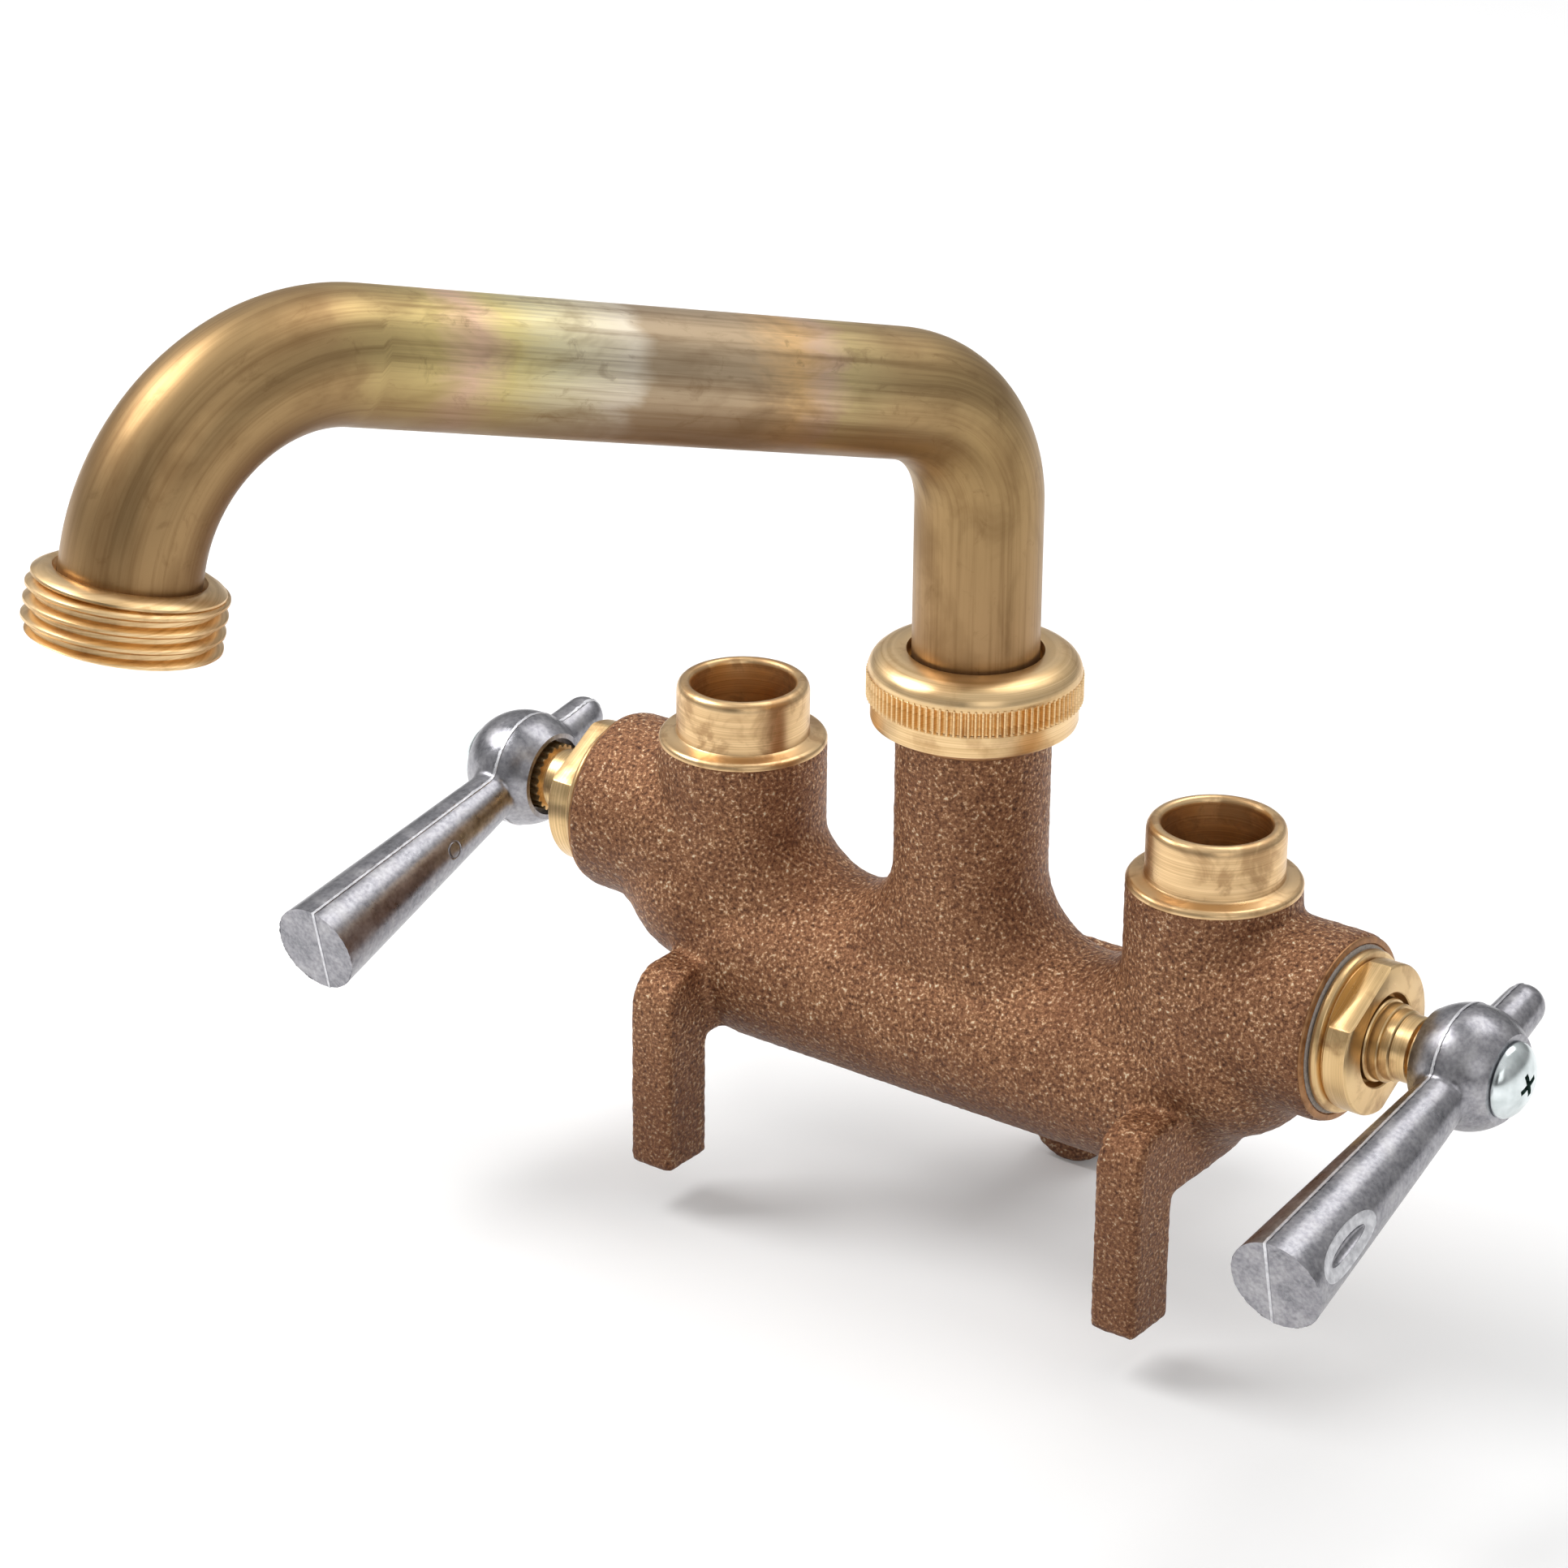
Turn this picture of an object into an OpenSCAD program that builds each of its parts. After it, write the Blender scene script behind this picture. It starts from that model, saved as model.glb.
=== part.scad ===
// Two-handle utility sink faucet: a cast body that sits astride a tub's rim, two compression valves
// with lever handles, and a swing tube spout that ends in a garden hose thread.
// Millimetres. Z = 0 is the flat under the body that rests on the rim. +X is to the right seen from
// the front, +Y is to the wall, +Z is up. The hot valve is on the left.

/* [Inlets] */
// Distance between the two inlet sockets, centre to centre
inlet_spacing = 85.725; // [80:0.025:104]
// Outside diameter of the copper tube that is soldered into a socket
supply_tube_od = 15.875; // [14:0.025:17]
// Wall of the turned stub round a socket
stub_wall = 2.3; // [1.8:0.1:3]
// Height of a turned stub above its shoulder
stub_height = 10.1; // [8:0.1:13]
// Depth of a socket
socket_depth = 14; // [12:0.5:16]
// Height of the stubs' tops above the rim
inlet_height = 57.8; // [55:0.1:66]

/* [Body] */
// Outside diameter of the cross pipe that rests on the rim
pipe_od = 29.7; // [28:0.1:33]
// Depth of the flat on the pipe's underside
rim_flat = 0.3; // [0.2:0.1:0.8]
// Height of the valves' axis above the rim
valve_height = 31.3; // [30:0.1:33]
// Outside diameter of a valve barrel
barrel_od = 28.2; // [27.8:0.1:30]
// Length of a valve barrel outboard of its inlet's axis
barrel_length = 23.64; // [21:0.02:27]
// Outside diameter of the column under an inlet stub
column_od = 26; // [25.6:0.1:28]
// Outside diameter of the neck that carries the spout
neck_od = 23.3; // [23:0.1:25]
// Height of the neck's top
neck_height = 66.75; // [63:0.25:72]
// Outside diameter of the thread on the neck
neck_thread_od = 25.2; // [24.9:0.1:26]
// Diameter of the waterway in the cross pipe
waterway_d = 16; // [14:0.5:17]

/* [Clamp] */
// Width of a front leg
leg_width = 7.6; // [7:0.1:10]
// Thickness of a front leg, front to back
leg_depth = 9.9; // [9:0.1:12]
// Drop of the legs below the rim
leg_drop = 17; // [14:0.5:22]
// Distance from the body's middle to the back of the front legs
leg_back = 14; // [12:0.5:16]
// Height of a leg's knee above the rim
knee_height = 16; // [14:0.5:18]
// Space for the tub's wall between the legs and the rear lug
wall_space = 43; // [36:0.5:50]
// Width of the rear lug
lug_width = 14.8; // [13:0.1:17]
// Thickness of the rear lug
lug_depth = 9; // [8:0.5:11]
// Drop of the rear lug below the rim
lug_drop = 24.5; // [21:0.5:28]
// Diameter of the tapped hole in the rear lug
lug_hole_d = 6.4; // [5:0.1:7]

/* [Spout] */
// Outside diameter of the spout tube
tube_od = 19.05; // [18:0.05:19.4]
// Wall of the spout tube
tube_wall = 1.07; // [0.8:0.01:1.4]
// Height where the arm's line meets the riser's line
arm_height = 113.1; // [106:0.1:130]
// Rise of the arm towards the outlet, in degrees
arm_rise = 15; // [12:0.5:20]
// Reach from the riser to the top of the hose end
spout_reach = 141.6; // [135:0.1:200]
// Radius of the bend over the riser
rear_bend = 21; // [16:0.5:24]
// Radius of the bend over the outlet
front_bend = 27.5; // [24:0.5:32]
// Straight tube between the front bend and the hose end
outlet_straight = 3; // [1.6:0.1:8]
// Tilt of the outlet away from the body, in degrees
outlet_tilt = 12; // [8:0.5:18]
// Turn of the spout from straight ahead to the left, in degrees
spout_swing = 17; // [-30:1:30]
// Outside diameter of the hose thread
hose_thread_od = 27; // [26.4:0.1:27.4]
// Length of the hose end
hose_end_length = 9.4; // [9:0.1:13]

/* [Spout nut] */
// Outside diameter of the nut's plain ring
nut_od = 31.2; // [30:0.1:34]
// Outside diameter of the nut's knurled band
knurl_od = 32.5; // [32:0.1:35]
// Height of the nut
nut_height = 11.25; // [10.75:0.05:13]
// Length of thread that the nut covers
nut_thread = 4; // [3:0.1:5]

/* [Valves] */
// Width of a bonnet's hexagon across its flats
bonnet_flats = 22.2; // [21:0.1:24]
// Length of a bonnet's hexagon
bonnet_hex = 6; // [5:0.1:8]
// Outside diameter of a bonnet's thread
bonnet_thread_od = 19.2; // [18.6:0.1:20]
// Outside diameter of a bonnet's gasket
gasket_od = 25.3; // [24.6:0.1:25.8]
// Diameter of a stem
stem_d = 12.6; // [12:0.1:13]
// Diameter of a stem's splined end
spline_d = 9.5; // [8.6:0.1:10]
// Diameter of a valve seat
seat_od = 14; // [13:0.1:14.6]
// Bore of a valve seat
seat_bore = 9.6; // [8.6:0.1:10]

/* [Handles] */
// Diameter of a handle's ball hub
hub_d = 17.2; // [16.4:0.1:20]
// Distance from a valve barrel's end to the hub's middle
hub_offset = 19.9; // [19.4:0.1:24]
// Length of a lever from the hub's middle
lever_length = 52.8; // [46:0.1:65]
// Diameter of a lever's taper at the hub's middle
lever_root_d = 6.9; // [6:0.1:9]
// Diameter of a lever at its end
lever_end_d = 14.4; // [12:0.1:16.4]
// Droop of a lever below level when its valve is shut, in degrees
lever_droop = 13.6; // [0:0.1:25]
// Length of the short tail behind the hub
tail_length = 18.7; // [15:0.1:21]
// Diameter of a handle screw's head
screw_head_d = 11.4; // [10.5:0.1:12]

/* [Hidden] */
$fn = 40;
inlet_x = inlet_spacing / 2;
running_gap = 0.05;
socket_r = supply_tube_od / 2 + 0.0625;
stub_r = socket_r + stub_wall;
shoulder_z = inlet_height - stub_height;
pipe_r = pipe_od / 2;
pipe_z = pipe_r - rim_flat;
pipe_end = inlet_x - 6.86;
barrel_r = barrel_od / 2;
end_x = inlet_x + barrel_length;
link_r = barrel_r - 0.7;
link_run = end_x - 9 - pipe_end;
link_rise = valve_height - pipe_z;
neck_r = neck_od / 2;
column_r = column_od / 2;
saddle_z = inlet_x / 2 + pipe_z + 3.7;
lug_front = wall_space - leg_back;
lug_z = lug_width / 2 - lug_drop;
tube_r = tube_od / 2;
bore_r = tube_r - tube_wall;
rear_turn = 90 - arm_rise;
front_turn = 90 + arm_rise - outlet_tilt;
rear_tangent = rear_bend * tan(rear_turn / 2);
front_tangent = front_bend * tan(front_turn / 2);
outlet_leg = front_tangent + outlet_straight;
arm_run = (spout_reach - outlet_leg * sin(outlet_tilt)) / cos(arm_rise);
tube_in_end = 6.5;
bend_lap = 1;
bend_swell = 0.05;
spigot_r = tube_r + 0.8;
spigot_bore = spigot_r + running_gap;
spigot_low = neck_height - 15;
tube_low = neck_height - 6;
groove_r = spigot_r - 1.8;
groove_low = spigot_low + 3;
groove_width = 2.4;
ring_section = 1.78;
washer_t = 0.8;
collar_r = neck_thread_od / 2 - 0.6;
collar_low = neck_height + washer_t + running_gap;
collar_t = 3.4;
nut_low = neck_height - nut_thread;
nut_top = nut_low + nut_height;
lip_low = collar_low + collar_t + 0.1;
nut_hole_r = tube_r + 0.65;
chamber_r = bonnet_thread_od / 2;
chamber_x = inlet_x - 4.86;
seat_t = 5;
seat_x = chamber_x - seat_t;
seat_lip = 1;
gasket_t = 2.2;
gasket_x = end_x - 2;
flange_x = gasket_x + gasket_t;
flange_t = 1.8;
hex_x = flange_x + flange_t;
front_x = hex_x + bonnet_hex;
shank_x = end_x - 12;
stem_r = stem_d / 2;
spline_r = spline_d / 2;
washer_x = chamber_x + seat_lip;
washer_l = 3;
holder_x = washer_x + washer_l;
hub_x = end_x + hub_offset;
hub_r = hub_d / 2;
hub_out = hub_x + sqrt(hub_r * hub_r - screw_head_d * screw_head_d / 4);
hub_in = hub_x - hub_r + 1.5;
stem_out = hub_x + 4;
gland_x = end_x - 2;
stem_groove_r = stem_r - 1.75;
handle_screw_r = 1.7;
washer_screw_r = 2;
screw_head_t = 3.2;
tail_r = 3.3;

// A cylinder on the right-hand valve's axis, from x outwards
module on_axis(x, r, l) {
    translate([x, 0, valve_height])
        rotate([0, 90, 0])
            cylinder(r = r, h = l);
}

// The same with a ring's hole through it
module ring_on_axis(x, r, hole, l) {
    difference() {
        on_axis(x, r, l);
        on_axis(x - 1, hole, l + 2);
    }
}

// A vertical cylinder from z upwards
module upright(x, z, r, l) {
    translate([x, 0, z])
        cylinder(r = r, h = l);
}

// A child drawn for the right-hand valve, moved to the left one
module to_hot() {
    mirror([1, 0, 0])
        children();
}

// Outside of the casting, right half, without its legs
module half_shell() {
    // cross pipe and the inclined link that carries it up to the barrel
    translate([0, 0, pipe_z])
        rotate([0, 90, 0])
            cylinder(r = pipe_r, h = pipe_end);
    translate([pipe_end, 0, pipe_z])
        sphere(r = pipe_r);
    translate([pipe_end, 0, pipe_z])
        rotate([0, atan2(link_run, link_rise), 0])
            cylinder(r = link_r, h = sqrt(link_run * link_run + link_rise * link_rise));
    // valve barrel with its turned end
    translate([inlet_x, 0, valve_height])
        sphere(r = column_r);
    translate([inlet_x, 0, valve_height])
        rotate([0, 90, 0])
            cylinder(r1 = column_r, r2 = barrel_r, h = 7);
    on_axis(inlet_x + 7, barrel_r, barrel_length - 8.2);
    on_axis(inlet_x + 7, barrel_r - 0.3, barrel_length - 7);
    // round belly under the barrel
    translate([inlet_x + 4.5, 0, valve_height - 7.5])
        sphere(r = barrel_r + 0.4);
    // inlet column and the turned stub on it
    upright(inlet_x, valve_height, column_r, shoulder_z - valve_height);
    upright(inlet_x, valve_height, stub_r, inlet_height - valve_height);
    // round saddle between the column and the neck
    translate([inlet_x / 2, 0, saddle_z])
        rotate([-90, 0, 0])
            rotate_extrude(angle = 180)
                translate([inlet_x / 2, 0])
                    circle(r = neck_r);
    upright(inlet_x, saddle_z - 0.5, neck_r, 2);
}

// A front leg with the knee that joins it to the body
module leg() {
    front = -leg_back - leg_depth;
    translate([inlet_x - leg_width / 2, 0, 0])
        rotate([90, 0, 90])
            linear_extrude(height = leg_width)
                polygon([
                    [front, 1 - leg_drop], [front + 1, -leg_drop],
                    [-leg_back - 1, -leg_drop], [-leg_back, 1 - leg_drop],
                    [-leg_back, 2], [-leg_back + 2, 4], [-2, 8], [-2, knee_height],
                    [front + 6, knee_height], [front + 3, knee_height - 1],
                    [front + 1, knee_height - 3], [front, knee_height - 6]
                ]);
}

// The lug behind the tub's wall, with the web that carries it
module rear_lug() {
    translate([-lug_width / 2, 6, 2])
        cube([lug_width, lug_front + lug_depth - 6, 10]);
    translate([-lug_width / 2, lug_front, lug_z])
        cube([lug_width, lug_depth, 12 - lug_z]);
    translate([0, lug_front, lug_z])
        rotate([-90, 0, 0])
            cylinder(r = lug_width / 2, h = lug_depth);
}

// Waterways of one valve, drawn on the right
module half_waterway() {
    // inlet socket with a lead-in, and the drop to the valve chamber
    upright(inlet_x, inlet_height - socket_depth, socket_r, socket_depth + 1);
    translate([inlet_x, 0, inlet_height - 0.6])
        cylinder(r1 = socket_r, r2 = socket_r + 0.7, h = 0.7);
    upright(inlet_x, valve_height, socket_r - 2, inlet_height - socket_depth - valve_height + 1);
    // valve chamber, gasket step and seat
    on_axis(chamber_x, chamber_r, end_x - chamber_x + 1);
    on_axis(gasket_x, gasket_od / 2 + running_gap, end_x - gasket_x + 1);
    on_axis(seat_x, seat_od / 2, seat_t + 1);
    // passage from the seat down to the cross pipe
    translate([seat_x + 1.5, 0, valve_height])
        rotate([0, -90 - atan2(link_rise, seat_x + 1.5 - pipe_end / 2), 0])
            cylinder(r = seat_bore / 2, h = norm([link_rise, seat_x + 1.5 - pipe_end / 2]));
    translate([0, 0, pipe_z])
        rotate([0, 90, 0])
            cylinder(r = waterway_d / 2, h = pipe_end - 12);
    translate([pipe_end - 12, 0, pipe_z])
        sphere(r = waterway_d / 2);
}

module body_casting() {
    color([0.46, 0.30, 0.20])
        difference() {
            union() {
                difference() {
                    union() {
                        half_shell();
                        to_hot() half_shell();
                    }
                    translate([-end_x, -pipe_od, -pipe_od])
                        cube([2 * end_x, 2 * pipe_od, pipe_od]);
                }
                upright(0, pipe_z, neck_r, neck_height - pipe_z);
                upright(0, nut_low - 1, neck_thread_od / 2, neck_height - nut_low + 1);
                leg();
                to_hot() leg();
                rear_lug();
            }
            half_waterway();
            to_hot() half_waterway();
            upright(0, pipe_z, waterway_d / 2, neck_height - pipe_z);
            upright(0, spigot_low - 1, spigot_bore, neck_height - spigot_low + 2);
            translate([0, lug_front - 1, lug_z + 2])
                rotate([-90, 0, 0])
                    cylinder(r = lug_hole_d / 2, h = lug_depth + 2);
        }
}

// Renewable brass seat with a raised lip, pressed in the chamber's end
module cold_seat() {
    color([0.72, 0.55, 0.27])
        difference() {
            union() {
                on_axis(seat_x, seat_od / 2, seat_t);
                on_axis(seat_x, seat_bore / 2 + 1.2, seat_t + seat_lip);
            }
            on_axis(seat_x - 1, seat_bore / 2, seat_t + seat_lip + 2);
        }
}

module hot_seat() {
    to_hot() cold_seat();
}

// Fibre gasket in the step of the barrel's end
module cold_bonnet_gasket() {
    color([0.45, 0.43, 0.40])
        ring_on_axis(gasket_x, gasket_od / 2, chamber_r + running_gap, gasket_t);
}

module hot_bonnet_gasket() {
    to_hot() cold_bonnet_gasket();
}

// Bonnet: threaded shank, round flange, hexagon with a turned-off front, bore for the stem
module cold_bonnet() {
    color([0.75, 0.58, 0.30])
        difference() {
            union() {
                on_axis(shank_x, chamber_r, flange_x - shank_x);
                on_axis(flange_x, gasket_od / 2 - 0.5, flange_t);
                intersection() {
                    translate([hex_x, 0, valve_height])
                        rotate([0, 90, 0])
                            rotate(30)
                                cylinder(r = bonnet_flats / sqrt(3), h = bonnet_hex, $fn = 6);
                    translate([hex_x, 0, valve_height])
                        rotate([0, 90, 0])
                            cylinder(r1 = bonnet_flats / 2 + 2.6, r2 = bonnet_flats / 2 - 0.2, h = bonnet_hex);
                }
            }
            on_axis(shank_x - 1, stem_r + running_gap, front_x - shank_x + 2);
            on_axis(front_x - 4, stem_r + 0.9, 5);
        }
}

module hot_bonnet() {
    to_hot() cold_bonnet();
}

// Flat rubber washer that closes on the seat
module cold_seat_washer() {
    color([0.12, 0.12, 0.12])
        ring_on_axis(washer_x, seat_od / 2, washer_screw_r, washer_l);
}

module hot_seat_washer() {
    to_hot() cold_seat_washer();
}

// Screw that holds the washer on the stem
module cold_washer_screw() {
    color([0.72, 0.55, 0.27])
        union() {
            on_axis(washer_x - 1.8, washer_screw_r + 1.4, 1.8);
            on_axis(washer_x - 1, washer_screw_r, washer_l + 6);
        }
}

module hot_washer_screw() {
    to_hot() cold_washer_screw();
}

// Stem: washer disc, threaded body, ring groove, neck and splined end
module cold_stem() {
    color([0.74, 0.57, 0.29])
        difference() {
            union() {
                on_axis(holder_x, seat_od / 2 + 0.4, 4);
                on_axis(holder_x, stem_r - 1.3, gland_x - 3 - holder_x);
                on_axis(shank_x + 1, stem_r, gland_x - 3 - shank_x);
                on_axis(gland_x - 3, stem_groove_r, 6);
                on_axis(gland_x + 0.4, stem_r, hex_x + 2 - gland_x);
                on_axis(hex_x + 2, stem_r - 0.8, 3);
                on_axis(hex_x + 2, spline_r - 0.2, hub_in - hex_x);
                on_axis(hub_in - 0.5, spline_r, stem_out - hub_in + 0.5);
            }
            on_axis(holder_x - 1, washer_screw_r, 6);
            on_axis(stem_out - 10, handle_screw_r, 11);
        }
}

module hot_stem() {
    to_hot() cold_stem();
}

// Rubber ring in the stem's groove
module cold_stem_o_ring() {
    color([0.10, 0.10, 0.10])
        translate([gland_x - 0.8, 0, valve_height])
            rotate([0, 90, 0])
                rotate_extrude()
                    translate([stem_groove_r + 0.87, 0])
                        circle(d = 1.7, $fn = 20);
}

module hot_stem_o_ring() {
    to_hot() cold_stem_o_ring();
}

// Die-cast lever handle: ball hub, tapered lever with a flat end, short tail
module cold_handle() {
    color([0.62, 0.63, 0.64])
        difference() {
            union() {
                intersection() {
                    translate([hub_x, 0, valve_height])
                        sphere(r = hub_r);
                    on_axis(hub_in, hub_r + 1, hub_out - hub_in);
                }
                on_axis(hub_in, hub_r - 1.6, hub_x - hub_in);
                translate([hub_x, 0, valve_height])
                    rotate([90 + lever_droop, 0, 0])
                        cylinder(r1 = lever_root_d / 2, r2 = lever_end_d / 2, h = lever_length);
                translate([hub_x, 0, valve_height])
                    rotate([-90 + lever_droop, 0, 0])
                        cylinder(r1 = 4.3, r2 = tail_r, h = tail_length - tail_r);
                translate([hub_x, 0, valve_height])
                    rotate([-90 + lever_droop, 0, 0])
                        translate([0, 0, tail_length - tail_r])
                            sphere(r = tail_r);
            }
            on_axis(hub_in - 1, spline_r + 0.85, 2.5);
            on_axis(hub_in, spline_r, stem_out - hub_in);
            on_axis(stem_out - 1, handle_screw_r + 0.4, hub_r);
        }
}

module hot_handle() {
    to_hot() cold_handle();
}

// Truss-head screw that holds the handle on the stem
module cold_handle_screw() {
    color([0.78, 0.79, 0.80])
        union() {
            translate([hub_out, 0, valve_height])
                rotate([0, 90, 0])
                    rotate_extrude()
                        polygon([
                            [0, 0], [screw_head_d / 2, 0], [screw_head_d / 2, 0.7],
                            [screw_head_d / 2 * 0.86, screw_head_t * 0.55],
                            [screw_head_d / 2 * 0.62, screw_head_t * 0.82],
                            [screw_head_d / 2 * 0.34, screw_head_t * 0.96], [0, screw_head_t]
                        ]);
            on_axis(stem_out - 8, handle_screw_r, hub_out - stem_out + 8);
        }
}

module hot_handle_screw() {
    to_hot() cold_handle_screw();
}

// Nut that holds the spout's collar down on the neck
module spout_nut() {
    k = nut_height / 11.5;
    color([0.78, 0.61, 0.33])
        translate([0, 0, nut_low])
            rotate_extrude()
                polygon([
                    [neck_thread_od / 2, 0], [nut_od / 2 - 0.5, 0], [nut_od / 2, 0.5], [nut_od / 2, 3.4 * k],
                    [nut_od / 2 - 0.4, 3.5 * k], [nut_od / 2 - 0.4, 3.7 * k], [knurl_od / 2, 3.8 * k],
                    [knurl_od / 2, 7.9 * k], [nut_od / 2 - 0.2, 8.1 * k], [nut_od / 2 - 0.2, 8.4 * k],
                    [nut_od / 2 - 0.7, 9.4 * k], [nut_od / 2 - 1.6, 10.4 * k], [nut_od / 2 - 2.9, 11.1 * k],
                    [nut_od / 2 - 4.4, nut_height], [nut_hole_r + 0.3, nut_height],
                    [nut_hole_r, nut_height - 0.3], [nut_hole_r, lip_low - nut_low],
                    [neck_thread_od / 2, lip_low - nut_low]
                ]);
}

// Slip washer between the neck's top and the spout's collar
module spout_friction_washer() {
    color([0.85, 0.84, 0.80])
        difference() {
            upright(0, neck_height, collar_r, washer_t);
            upright(0, neck_height - 1, spigot_bore + 0.1, washer_t + 2);
        }
}

// Spigot brazed on the tube's foot, with the collar under the nut and a ring groove
module spout_spigot() {
    color([0.74, 0.57, 0.29])
        rotate_extrude()
            polygon([
                [bore_r - 1.2, spigot_low], [spigot_r, spigot_low], [spigot_r, groove_low],
                [groove_r, groove_low], [groove_r, groove_low + groove_width],
                [spigot_r, groove_low + groove_width], [spigot_r, collar_low], [collar_r, collar_low],
                [collar_r, collar_low + collar_t], [tube_r, collar_low + collar_t], [tube_r, tube_low],
                [bore_r - 1.2, tube_low]
            ]);
}

// Rubber ring in the spigot's groove
module spout_o_ring() {
    color([0.10, 0.10, 0.10])
        translate([0, 0, groove_low + groove_width / 2])
            rotate_extrude()
                translate([groove_r + 0.91, 0])
                    circle(d = ring_section, $fn = 20);
}

// A child drawn down +Z, placed at the top of the hose end
module at_outlet() {
    translate([0, -arm_run * cos(arm_rise), arm_height + arm_run * sin(arm_rise)])
        rotate([180 - outlet_tilt, 0, 0])
            translate([0, 0, outlet_leg])
                children();
}

// The tube's outside or its bore. The bends swell a little, so each straight run ends inside them
module tube_run(r, extra) {
    translate([0, 0, tube_low - extra])
        cylinder(r = r, h = arm_height - rear_tangent - tube_low + extra + bend_lap);
    translate([0, -rear_bend, arm_height - rear_tangent])
        rotate([0, 0, 90])
            rotate([90, 0, 0])
                rotate_extrude(angle = rear_turn)
                    translate([rear_bend, 0])
                        circle(r = r + bend_swell);
    translate([0, 0, arm_height])
        rotate([90 - arm_rise, 0, 0])
            translate([0, 0, rear_tangent - bend_lap])
                cylinder(r = r, h = arm_run - rear_tangent - front_tangent + 2 * bend_lap);
    translate([0, 0, arm_height])
        rotate([90 - arm_rise, 0, 0])
            translate([0, -front_bend, arm_run - front_tangent])
                rotate([0, -90, 0])
                    rotate(90 - front_turn)
                        rotate_extrude(angle = front_turn)
                            translate([front_bend, 0])
                                circle(r = r + bend_swell);
    at_outlet()
        translate([0, 0, -outlet_straight - bend_lap])
            cylinder(r = r, h = outlet_straight + tube_in_end + extra + bend_lap);
}

// Bent tube: riser, rear bend, rising arm, front bend and outlet
module spout_tube() {
    color([0.60, 0.48, 0.28])
        rotate([0, 0, -spout_swing])
            difference() {
                tube_run(tube_r, 0);
                tube_run(bore_r, 1);
            }
}

// Turned end with the hose thread, brazed on the tube
module hose_end() {
    r = hose_thread_od / 2;
    l = hose_end_length;
    color([0.78, 0.60, 0.32])
        rotate([0, 0, -spout_swing])
            at_outlet()
                rotate_extrude()
                    polygon([
                        [tube_r + 0.7, 0], [r - 0.6, 0], [r, 0.6], [r, l - 0.7], [r - 0.7, l], [bore_r, l],
                        [bore_r, tube_in_end], [tube_r, tube_in_end], [tube_r, 1.2], [tube_r + 0.7, 1.2]
                    ]);
}

body_casting();
hot_seat();
cold_seat();
hot_bonnet_gasket();
cold_bonnet_gasket();
hot_bonnet();
cold_bonnet();
hot_seat_washer();
cold_seat_washer();
hot_washer_screw();
cold_washer_screw();
hot_stem();
cold_stem();
hot_stem_o_ring();
cold_stem_o_ring();
hot_handle();
cold_handle();
hot_handle_screw();
cold_handle_screw();
spout_nut();
spout_friction_washer();
spout_spigot();
spout_o_ring();
spout_tube();
hose_end();
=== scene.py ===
import bpy
import math
from mathutils import Matrix, Vector


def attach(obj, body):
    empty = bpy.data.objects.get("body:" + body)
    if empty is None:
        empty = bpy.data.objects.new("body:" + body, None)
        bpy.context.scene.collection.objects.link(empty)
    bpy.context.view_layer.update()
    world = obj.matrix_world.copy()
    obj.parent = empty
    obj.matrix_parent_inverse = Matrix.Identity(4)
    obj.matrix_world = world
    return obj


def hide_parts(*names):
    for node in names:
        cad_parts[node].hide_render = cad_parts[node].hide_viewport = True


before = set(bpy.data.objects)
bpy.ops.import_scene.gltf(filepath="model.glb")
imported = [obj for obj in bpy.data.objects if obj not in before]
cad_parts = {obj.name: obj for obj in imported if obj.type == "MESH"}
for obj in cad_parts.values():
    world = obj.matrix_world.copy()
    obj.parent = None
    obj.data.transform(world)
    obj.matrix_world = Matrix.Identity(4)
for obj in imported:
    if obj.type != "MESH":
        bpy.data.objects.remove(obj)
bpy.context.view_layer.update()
bpy.ops.object.select_all(action="DESELECT")

# The valve body is one sand casting in red bronze: a cross pipe, an inlet column and a valve barrel
# at each end, a sagging saddle up to the spout's neck, two front legs and a clamp lug at the back.
# Its members run together in soft foundry fillets, and the skin keeps the grain of the sand.
mm = 0.001
inlet_out = 42.8625
inlet_x = inlet_out * mm
valve_up = 31.3
valve_z = valve_up * mm


def cast_rod(start, end, r_start, r_end):
    """One round member of the casting's pattern, between two points given in mm."""
    start, end = Vector(start) * mm, Vector(end) * mm
    along = end - start
    bpy.ops.mesh.primitive_cone_add(
        vertices=64, radius1=r_start * mm, radius2=r_end * mm, depth=along.length,
        location=(start + end) / 2, rotation=along.to_track_quat("Z", "Y").to_euler())
    return bpy.context.object


def cast_ball(centre, r):
    """One round swelling of the casting's pattern, in mm."""
    bpy.ops.mesh.primitive_uv_sphere_add(segments=64, ring_count=32, radius=r * mm,
                                         location=Vector(centre) * mm)
    return bpy.context.object


def cast_block(low, high, round_off):
    """One square member of the casting's pattern between two corners in mm, its edges rounded off."""
    low, high = Vector(low) * mm, Vector(high) * mm
    bpy.ops.mesh.primitive_cube_add(size=1, location=(low + high) / 2, scale=high - low)
    bpy.ops.object.transform_apply(location=True, rotation=True, scale=True)
    bpy.ops.object.mode_set(mode="EDIT")
    bpy.ops.mesh.bevel(offset=round_off * mm, segments=4, affect="EDGES")
    bpy.ops.object.mode_set(mode="OBJECT")
    return bpy.context.object


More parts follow.
